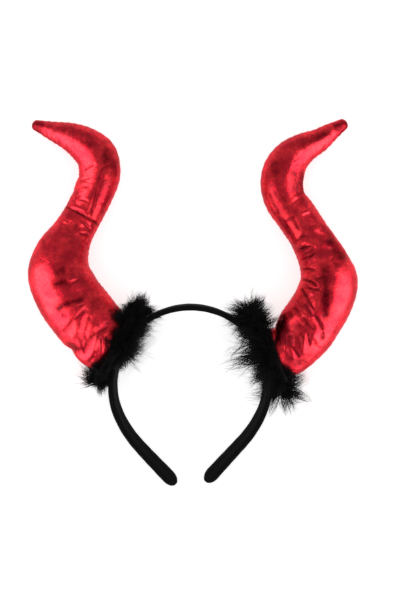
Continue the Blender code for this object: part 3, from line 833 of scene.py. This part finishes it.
def horn_cover(name, one):
    """The stuffed horn: its smooth form, the crumple of its blown-up cloth, the creases of the photograph on
    its front, small creases all over and two seams with their puckers, closed at the foot and the tip. Its
    points hold the painted shade of the creases and of broad dark zones of its front."""
    grid, line, turn = horn_grid(one, COVER_RINGS, COVER_SIDES, one["folds"])
    along = line["along"][:, None]
    keep = smooth(along / 0.05) * smooth((1 - along) / 0.04)
    grid = grid + crumple(one) * keep[:, :, None]
    outward = outward_of(grid)
    around_m, along_m = girth_map(grid)
    around_m, along_m = around_m[:, :-1], along_m[:, :-1]
    girth = around_m[:, -1:] * COVER_SIDES / (COVER_SIDES - 1)
    front = smooth((np.sin(turn)[None, :] + 0.25) / 0.5)
    # The creases press the cloth in and also give the painted shade that darkens the foil along them
    press, painted_shade = crease_depth(one["creases"], placed(grid, one["side"]), front)
    press = press + small_creases(one["seed"], along_m, around_m, float(along_m.max()), girth)
    to_seam = np.abs((turn / math.pi + 0.5) % 1.0 - 0.5)[None, :] * girth / 2
    stitches = 0.5 + 0.5 * np.cos(2 * math.pi * along_m / PUCKER_STEP + 1.3 * np.sin(along_m / 0.011))
    press = press + SEAM_DEPTH * np.exp(-((to_seam / SEAM_HALF_WIDTH) ** 2))
    press = press + PUCKER_DEPTH * stitches * np.exp(-((to_seam / PUCKER_REACH) ** 2))
    grid = grid - outward * (press * keep)[:, :, None]
    foot = [foot_ring(one, turn, DRAWN_IN * share) for share in FOOT_SHARES]
    way = np.array([line["ways"][-1, 0], line["ways"][-1, 1], -0.4])
    width = 2 * line["half_width"][-1]
    tips = [line["middle"][-1] + (grid[-1] - line["middle"][-1]) * math.cos(bend)
            + way * width * 0.4 * math.sin(bend) for bend in TIP_TURNS]
    grid = np.concatenate([foot, grid, tips])
    grid[:, :, 2] = np.maximum(grid[:, :, 2], 0.0)
    around, along = girth_map(grid)
    horn = closed_tube(name, placed(grid, one["side"]), around, along)
    # Each point keeps its painted shade, which the lame's finish reads
    point_values(horn, "painted_shade", np.pad(painted_shade, ((len(foot), len(tips)), (0, 0)), "edge"))
    return horn


def clear_of_horn(points, line, room):
    """Moves points out of a horn: square to its middle line at the nearest of its places, until the distance
    as a share of the section's ellipse, grown by the room, is one."""
    flat = points.reshape(-1, 3)
    off = flat[:, None, :2] - line["middle"][None, :, :2]
    near = (off**2).sum(axis=2).argmin(axis=1)
    from_middle = flat - line["middle"][near]
    side = (from_middle * line["across"][near]).sum(axis=1)
    ahead = (from_middle[:, :2] * line["ways"][near]).sum(axis=1)
    share = np.hypot(side / (line["half_width"][near] + room),
                     from_middle[:, 2] / (line["half_depth"][near] + room))
    grow = np.where((share < 1.0) & ((near > 0) | (ahead > 0)), 1 / np.maximum(share, 0.15) - 1, 0.0)[:, None]
    moved = flat + line["across"][near] * side[:, None] * grow
    moved[:, 2] += from_middle[:, 2] * grow[:, 0]
    return moved.reshape(points.shape)


def clear_of_band(points, room):
    """Moves points out of the band, the shorter way through its width or its thickness."""
    _, _, middle, width_way, thick_way = band_grid(160, 3, *strip_section(3))
    middle = laid(middle)
    width_way, thick_way = tilted(width_way), tilted(thick_way)
    flat = points.reshape(-1, 3)
    near = ((flat[:, None, :] - middle[None]) ** 2).sum(axis=2).argmin(axis=1)
    off = flat - middle[near]
    wide = (off * width_way[near]).sum(axis=1)
    thick = (off * thick_way[near]).sum(axis=1)
    deep_wide = BAND_WIDTH / 2 + room - np.abs(wide)
    deep_thick = BAND_THICKNESS / 2 + room - np.abs(thick)
    inside = (deep_wide > 0) & (deep_thick > 0)
    by_width = np.where(inside & (deep_wide < deep_thick), deep_wide * np.sign(wide), 0.0)
    by_thick = np.where(inside & (deep_wide >= deep_thick), deep_thick * np.sign(thick), 0.0)
    moved = flat + width_way[near] * by_width[:, None] + thick_way[near] * by_thick[:, None]
    return moved.reshape(points.shape)


def trim_line(one, line):
    """The trim's core round the horn's foot: its middle, radius, and its ways away from the horn and up
    along it."""
    turn = np.linspace(0.0, 2 * math.pi, TRIM_PLACES, endpoint=False)
    end = np.abs(np.cos(turn)) ** 1.4
    radius = CORE_RADIUS * (CORE_THIN + CORE_SWELL * end)
    above = one["crossing"] + (CORE_RISE - one["crossing"]) * end
    out = radius + 2 * CLEARANCE
    middle = on_foot(one["lean"], (FOOT_WIDTH / 2 + out) * np.cos(turn), above,
                     (FOOT_DEPTH / 2 + out) * np.sin(turn))
    middle = clear_of_horn(middle, line, 0.85 * float(radius.mean()))
    middle[:, 2] = np.maximum(middle[:, 2], radius + CLEARANCE)
    onward = unit(np.roll(middle, -1, axis=0) - np.roll(middle, 1, axis=0))
    foot = middle.mean(axis=0)
    away = middle - foot
    away = unit(away - onward * (away * onward).sum(axis=1, keepdims=True))
    horn_way = np.cross(onward, away)
    horn_way *= np.sign((horn_way[:, :2] * foot[:2]).sum(axis=1))[:, None]
    return turn, middle, radius, away, horn_way


def tufts_of(one, core, drawn):
    """The tufts of a trim: each one's root on the core, its way out, its length, curl and gathering, and the
    way along the core there.

    A tuft points out of the core's side. Its length is the mean of the table of locks, weighted by the
    squares of the shares of its way, times a billow round the trim.
    """
    turn, middle, radius, away, horn_way = core
    place = (np.arange(TUFTS) + drawn.uniform(0.0, 1.0, TUFTS)) / TUFTS
    cell = (place * len(turn)).astype(int) % len(turn)
    phi = ((drawn.permutation(TUFTS) + 0.5) / TUFTS) ** 1.25 * 4.8 - 2.55
    on_away, on_horn = np.cos(phi), np.sin(phi)
    way = away[cell] * on_away[:, None] + horn_way[cell] * on_horn[:, None]
    root = middle[cell] + way * radius[cell][:, None] * 0.7
    table = np.array(one["locks"])
    lengths = [np.interp(place * 360.0, table[:, 0], table[:, k]) for k in (1, 2, 3)]
    aims = (np.maximum(on_away, 0.0) ** 2, np.maximum(on_horn, 0.0) ** 2, np.maximum(-on_horn, 0.0) ** 2)
    share = sum(a * b for a, b in zip(aims, lengths)) / np.maximum(sum(aims), 0.2)
    billow = 1 + 0.32 * np.sin(2 * math.pi * place * 8 + 1.9 * np.sin(phi * 2 + one["seed"]))
    long = LOCK_LENGTH * share * billow * drawn.uniform(0.58, 1.32, TUFTS)
    way = unit(way + drawn.normal(0.0, 0.26, (TUFTS, 3)))
    curl = unit(np.cross(way, drawn.normal(0.0, 1.0, (TUFTS, 3)))) * drawn.uniform(0.0, 0.45, TUFTS)[:, None]
    gather = np.where(drawn.uniform(0.0, 1.0, TUFTS) < 0.75, drawn.uniform(0.84, 0.98, TUFTS), 0.55)
    onward = np.cross(away[cell], horn_way[cell])
    return {"root": root, "way": way, "long": long, "curl": curl, "gather": gather, "onward": onward}


def barb_paths(tufts, line, drawn):
    """The paths of the barbs, BARBS to a tuft, and the way that each leans out of its tuft.

    A barb starts near its tuft's root, swells away from the tuft's middle line by a sine of its length,
    curls and droops by the square of the share along it, and draws in to the tuft's point. It is kept out of
    the horn, the band and the surface that the headband lies on.
    """
    barbs = TUFTS * BARBS
    own = {key: np.repeat(values, BARBS, axis=0) for key, values in tufts.items()}
    way = own["way"]
    long = own["long"] * drawn.uniform(0.60, 1.03, barbs)
    long = long * np.where(drawn.uniform(0, 1, barbs) < 0.03, 1.35, 1.0)
    side = drawn.normal(0.0, 1.0, (barbs, 3))
    side -= way * (side * way).sum(axis=1, keepdims=True)
    start = own["root"] + drawn.normal(0.0, 0.0011, (barbs, 3))
    start = start + own["onward"] * drawn.normal(0.0, 0.0012, (barbs, 1))
    wave_way = unit(np.cross(way, side))
    phase = drawn.uniform(0.0, 2 * math.pi, barbs)[:, None]
    steps, long = np.array(BARB_STEPS)[None, :], long[:, None]
    swell = np.sin(math.pi * steps * own["gather"][:, None]) * 0.15 * long
    wave = np.sin(phase + 5.0 * steps) * 0.045 * long * steps
    path = (
        start[:, None, :]
        + way[:, None, :] * (long * steps)[:, :, None]
        + own["curl"][:, None, :] * (long * steps**2)[:, :, None]
        + side[:, None, :] * swell[:, :, None]
        + wave_way[:, None, :] * wave[:, :, None]
    )
    path[:, :, 2] -= long * steps**2 * BARB_DROOP
    path[:, 1:] = clear_of_band(clear_of_horn(path[:, 1:], line, HORN_ROOM), BAND_ROOM)
    path[:, :, 2] = np.maximum(path[:, :, 2], BAND_ROOM)
    return path, side


def barb_tubes(path, side, drawn):
    """The barbs' points and faces: tapered tubes with a ring of three at each step, a point at the last one
    and a cap at the root."""
    thick = drawn.uniform(*BARB_RADII, len(path))[:, None] * np.array(BARB_TAPER)[None, :]
    ahead = unit(np.diff(path, axis=1))
    across = unit(np.cross(ahead, side[:, None, :] + 1e-6))
    other = np.cross(ahead, across)
    corner = 2 * math.pi * np.arange(3) / 3
    rings = path[:, :3, None, :] + thick[:, :, None, None] * (
        across[:, :, None, :] * np.cos(corner)[None, None, :, None]
        + other[:, :, None, :] * np.sin(corner)[None, None, :, None]
    )
    points = np.concatenate([rings.reshape(-1, 9, 3), path[:, 3:4]], axis=1)
    base = (np.arange(len(path)) * 10)[:, None, None]
    quads = np.array([(r * 3 + k, r * 3 + (k + 1) % 3, r * 3 + 3 + (k + 1) % 3, r * 3 + 3 + k)
                      for r in (0, 1) for k in range(3)])
    tips = np.array([(6 + k, 6 + (k + 1) % 3, 9) for k in range(3)])
    cap = np.array([(2, 1, 0)])
    faces = [(base + kind[None]).reshape(-1, kind.shape[1]) for kind in (quads, tips, cap)]
    return points.reshape(-1, 3), faces


def feather_trim(name, one):
    """A marabou trim: a thin lumpy core, and tufts of barbs rooted on it. Each barb's points hold how far
    along it they are."""
    drawn = np.random.default_rng(one["seed"])
    line = horn_line(one, LINE_PLACES)
    turn, middle, radius, away, horn_way = core = trim_line(one, line)
    path, side = barb_paths(tufts_of(one, core, drawn), line, drawn)
    barb_points, barb_faces = barb_tubes(path, side, drawn)
    lap = 2 * math.pi * np.arange(CORE_SIDES) / CORE_SIDES
    bumps = 0.86 + 0.10 * np.sin(7 * turn[:, None] + 3 * lap[None, :])
    tube = middle[:, None, :] + 1.15 * radius[:, None, None] * bumps[:, :, None] * (
        away[:, None, :] * np.cos(lap)[None, :, None] + horn_way[:, None, :] * np.sin(lap)[None, :, None])
    core_quads = tube_quads(len(turn) + 1, CORE_SIDES) % (len(turn) * CORE_SIDES)
    if one["side"] < 0:
        barb_faces = [faces[:, ::-1] for faces in barb_faces]
    core_points, barb_points = placed(tube.reshape(-1, 3), one["side"]), placed(barb_points, one["side"])
    if volume_of(core_points, core_quads) < 0:
        core_quads = core_quads[:, ::-1]
    first = len(core_points)
    quads, tips, caps = (faces + first for faces in barb_faces)
    faces = [np.concatenate([core_quads, quads]), np.concatenate([tips, caps])]
    trim = linked(name, mesh_of(name, np.concatenate([core_points, barb_points]), faces))
    tip = np.tile(np.repeat(BARB_STEPS, (3, 3, 3, 1)), len(path))
    point_values(trim, "tip", np.concatenate([np.zeros(first), tip]))
    return trim


def band_cover(name):
    """The band in its cloth: the strip's sections, which stand off it a little, drawn in by a seam down the
    middle of its inner face and by small gathers at its rounded ends, with each leg bent as the photograph's
    is."""
    across, through = strip_section(6, 9)
    grid, distance, _, width_way, thick_way = band_grid(BAND_RINGS, BAND_END_RINGS, across, through)
    from_crown, on_left = np.abs(distance)[:, None], (distance < 0)[:, None]
    share = from_crown / HALF_BAND
    distance, across = distance[:, None], across[None, :]
    inner = smooth((-through / (BAND_THICKNESS / 2) - 0.6) / 0.3)[None, :]
    seam = np.exp(-((across / BAND_SEAM_HALF_WIDTH) ** 2)) * inner
    past = np.clip((from_crown - HALF_BAND + BAND_GATHER_REACH) / BAND_GATHER_REACH, 0.0, 1.0)
    puckers = np.cos(2 * math.pi * across / BAND_GATHER_STEP + 0.8) * past * BAND_GATHER_DEPTH
    ruffle = BAND_RUFFLE * np.sin(distance / 0.0021 + 2.2 * np.sin(distance / 0.013))
    ruffle = ruffle * (np.abs(across) / (BAND_WIDTH / 2)) ** 2
    press = BAND_SEAM_DEPTH * seam + puckers * (0.4 + 0.6 * inner) + ruffle
    press = press - CLOTH_STAND - CLOTH_STAND_DOWN_LEG * share
    inward = -unit(np.stack([across[0] * 0.12, through], axis=1))
    grid = grid + (width_way[:, None, :] * inward[None, :, :1] + thick_way[:, None, :] * inward[None, :, 1:]
                   ) * press[:, :, None]
    bend = smooth((share - 0.36) / 0.3) * smooth((1.02 - share) / 0.25)
    grid[:, :, 0] -= bend * np.where(on_left, 0.0020, -0.0008)
    grid[:, :, 1] -= 0.0009 * smooth((share - 0.42) / 0.5) * np.where(on_left, 1.0, -1.5)
    grid = laid(grid)
    grid[:, :, 2] = np.maximum(grid[:, :, 2], 0.0)
    around, along = girth_map(grid)
    return closed_tube(name, grid + SHIFT, around, along)


class Value:
    """A shader socket that holds a number, on which Python's operators add Math nodes."""

    def __init__(self, finish, socket):
        self.finish, self.socket = finish, socket

    def by(self, operation, *others):
        """The result of a Math node of that operation on this value and the others."""
        return self.finish.node("ShaderNodeMath", {"operation": operation}, [self, *others])

    def __add__(self, other):
        return self.by("ADD", other)

    __radd__ = __add__

    def __mul__(self, other):
        return self.by("MULTIPLY", other)

    __rmul__ = __mul__

    def within(self, low, high):
        """A smooth step of this value from 0 at low to 1 at high."""
        return self.finish.node("ShaderNodeMapRange", {"interpolation_type": "SMOOTHSTEP"},
                                {"Value": self, "From Min": low, "From Max": high})


class Finish:
    """A material that is worked out by nodes."""

    def __init__(self, name):
        self.material = bpy.data.materials.new(name)
        self.material.use_nodes = True
        self.tree = self.material.node_tree
        self.surface = self.tree.nodes["Principled BSDF"]

    def node(self, kind, settings=(), values=(), output=0):
        """Adds a node: its settings first, then the values or links of its sockets, by name or in order."""
        made = self.tree.nodes.new(kind)
        for key, setting in dict(settings).items():
            setattr(made, key, setting)
        pairs = values.items() if isinstance(values, dict) else enumerate(values)
        for key, value in pairs:
            self.feed(made.inputs[key], value)
        return Value(self, made.outputs[output])

    def feed(self, socket, value):
        """Links a socket to a value, or sets it to a plain number or colour."""
        if isinstance(value, Value):
            self.tree.links.new(value.socket, socket)
        else:
            socket.default_value = value

    def set(self, **values):
        """Feeds the surface's own sockets, whose names are written with _ for each space."""
        for key, value in values.items():
            self.feed(self.surface.inputs[key.replace("_", " ")], value)

    def places(self, cut=False):
        """Places on the piece in metres, on its own cut or on its object."""
        return self.node("ShaderNodeTexCoord", output="UV" if cut else "Object")

    def from_points(self, name):
        """The number that the piece's points hold by that name."""
        held = {"attribute_name": name, "attribute_type": "GEOMETRY"}
        return self.node("ShaderNodeAttribute", held, output="Fac")

    def noise(self, where, scale, detail=2.0, roughness=0.5, distortion=0.0):
        """Smooth noise from 0 to 1 with that many grains to a metre."""
        return self.node("ShaderNodeTexNoise", {"noise_dimensions": "3D"},
                         {"Vector": where, "Scale": scale, "Detail": detail, "Roughness": roughness,
                          "Distortion": distortion})

    def axes(self, where):
        """The three numbers of a place."""
        apart = self.tree.nodes.new("ShaderNodeSeparateXYZ")
        self.tree.links.new(where.socket, apart.inputs[0])
        return [Value(self, out) for out in apart.outputs]

    def mix(self, share, first, second):
        """A colour between two others."""
        return self.node("ShaderNodeMix", {"data_type": "RGBA"},
                         {"Factor": share, "A": first, "B": second}, 2)

    def bump(self, height, strength, distance, under=None):
        """The surface's normal over a height from 0 to 1 that stands for a distance in metres."""
        values = {"Strength": strength, "Distance": distance, "Height": height}
        if under is not None:
            values["Normal"] = under
        return self.node("ShaderNodeBump", {}, values)


def red_lame():
    """Red foil on a fine knit: a metal whose tone drifts, with darker specks, painted shade along the creases
    and in broad dark zones, crinkles and a fine grain.
    """
    lame = Finish("horn_lame")
    where = lame.places()
    drift = lame.noise(where, 75.0, 4.0, 0.6).within(0.36, 0.64)
    cloud = lame.noise(where, 330.0, 3.0, 0.6).within(0.34, 0.66)
    speck = lame.noise(where, 1150.0, 2.0, 0.7).within(0.40, 0.66)
    painted_shade = lame.from_points("painted_shade")
    tone = lame.mix(drift, (0.52, 0.003, 0.018, 1.0), (0.93, 0.023, 0.037, 1.0))
    tone = lame.mix(cloud * 0.36 + speck * 0.42, tone, (0.26, 0.001, 0.009, 1.0))
    # Painted shade: the points' painted shade darkens the foil towards near black; below, it also roughens the
    # foil and thins its coat
    tone = lame.mix(painted_shade * (cloud * 0.3 + 0.95), tone, (0.080, 0.0009, 0.0040, 1.0))
    u, v, _ = lame.axes(lame.places(cut=True))
    knit = ((u * 9000.0).by("SINE") * (v * 7600.0).by("SINE")) * 0.5 + 0.5
    crinkle = lame.noise(where, 300.0, 4.0, 0.55, 0.6)
    soft = lame.noise(where, 95.0, 2.0, 0.5, 0.4)
    normal = lame.bump(soft, 0.48, 0.0012)
    normal = lame.bump(crinkle, 0.52, 0.00060, normal)
    normal = lame.bump(knit * 0.4 + speck * 0.6, 0.22, 0.00014, normal)
    rough = cloud * 0.05 + speck * 0.06 + drift * 0.04 + painted_shade * 0.12 + 0.24
    lame.set(Base_Color=tone, Metallic=1.0, Roughness=rough, Specular_Tint=(0.88, 0.36, 0.42, 1.0),
             Normal=normal, Coat_Weight=painted_shade * -0.30 + 0.32, Coat_Roughness=0.26)
    return lame.material


def black_marabou():
    """Black down: near black at the quill, a little greyer and softer towards each barb's tip."""
    down = Finish("marabou_black")
    where = down.places()
    tip = down.from_points("tip")
    patch = down.noise(where, 160.0, 2.0).within(0.35, 0.65)
    tone = down.mix(tip * 0.75 + patch * 0.20, (0.0038, 0.0038, 0.0040, 1.0), (0.0150, 0.0150, 0.0156, 1.0))
    down.set(Base_Color=tone, Roughness=0.70, Specular_IOR_Level=0.10)
    return down.material


def black_cloth():
    """Matte black cloth in a plain weave: two crossed waves of threads, a nap and a few paler fibres."""
    cloth = Finish("band_cloth")
    where = cloth.places()
    u, v, _ = cloth.axes(cloth.places(cut=True))
    warp = (u * 11000.0).by("SINE")
    weft = (v * 11000.0).by("SINE")
    weave = warp * weft * 0.5 + 0.5
    nap = cloth.noise(where, 1500.0, 3.0, 0.6)
    fibre = cloth.noise(where, 700.0, 4.0, 0.7).within(0.58, 0.75)
    tone = cloth.mix(weave * 0.35 + fibre * 0.5, (0.0034, 0.0034, 0.0036, 1.0), (0.0105, 0.0105, 0.0112, 1.0))
    normal = cloth.bump(weave * 0.6 + nap * 0.4, 0.5, 0.00016)
    cloth.set(Base_Color=tone, Roughness=nap * 0.12 + 0.78, Normal=normal, Specular_IOR_Level=0.12)
    return cloth.material


def pale_floor():
    """A plain pale floor."""
    pale = Finish("pale_floor")
    grain = pale.noise(pale.places(), 30.0, 2.0)
    tone = pale.mix(grain * 0.3, (0.94, 0.94, 0.945, 1.0), (0.93, 0.93, 0.93, 1.0))
    pale.set(Base_Color=tone, Roughness=0.9)
    pale.set(Emission_Color=(1.0, 1.0, 1.0, 1.0), Emission_Strength=FLOOR_GLOW)
    return pale.material


def dressed(piece, node, finish):
    """Puts the finish on a piece, which rides on the body and stands for its solid."""
    piece.data.materials.append(finish)
    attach(piece, "root")
    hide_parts(node)
    return piece


def dress():
    """Makes every piece of the headband."""
    lame, marabou = red_lame(), black_marabou()
    dressed(band_cover("band_cover"), "headband", black_cloth())
    for name, one in SIDES.items():
        horn = dressed(horn_cover(f"horn_cover_{name}", one), f"horn_{name}", lame)
        dressed(feather_trim(f"marabou_{name}", one), f"feather_trim_{name}", marabou)


def panel_light(name, place, aim, size, power, lit):
    """A large soft panel that looks at a point and is kept to one piece by light linking."""
    light = bpy.data.lights.new(name, "AREA")
    light.shape = "RECTANGLE"
    light.size, light.size_y = size
    light.energy = power
    panel = linked(name, light)
    panel.location = place
    way = np.array(aim) - np.array(place)
    down = math.atan2(way[2], math.hypot(way[0], way[1]))
    panel.rotation_euler = (math.pi / 2 + down, 0.0, math.atan2(way[1], way[0]) - math.pi / 2)
    panel.light_linking.receiver_collection = bpy.data.collections.new(f"lit_by_{name}")
    panel.light_linking.receiver_collection.objects.link(lit)


def studio():
    """The floor, the soft panels and the camera, which looks straight down as the photograph does."""
    corners = np.array([(-1, -1, 0), (1, -1, 0), (1, 1, 0), (-1, 1, 0)]) * FLOOR_REACH
    floor = linked("floor", mesh_of("floor", corners, [np.array([[0, 1, 2, 3]])]))
    floor.data.materials.append(pale_floor())
    for name, (place, aim, size, power, lit) in PANELS.items():
        panel_light(name, place, aim, size, power, bpy.data.objects[f"horn_cover_{lit}"])
    scene = bpy.context.scene
    scene.world = bpy.data.worlds.new("room")
    scene.world.use_nodes = True
    background = scene.world.node_tree.nodes["Background"].inputs
    background["Color"].default_value = (1.0, 1.0, 1.0, 1.0)
    background["Strength"].default_value = ROOM_LIGHT
    scene.view_settings.view_transform = "Standard"
    camera = bpy.data.cameras.new("camera")
    camera.lens, camera.sensor_width = CAMERA_LENS, CAMERA_SENSOR
    camera.clip_start, camera.clip_end = CAMERA_RANGE
    scene.camera = linked("camera", camera)
    scene.camera.location = CAMERA_PLACE


dress()
studio()

bpy.context.view_layer.update()
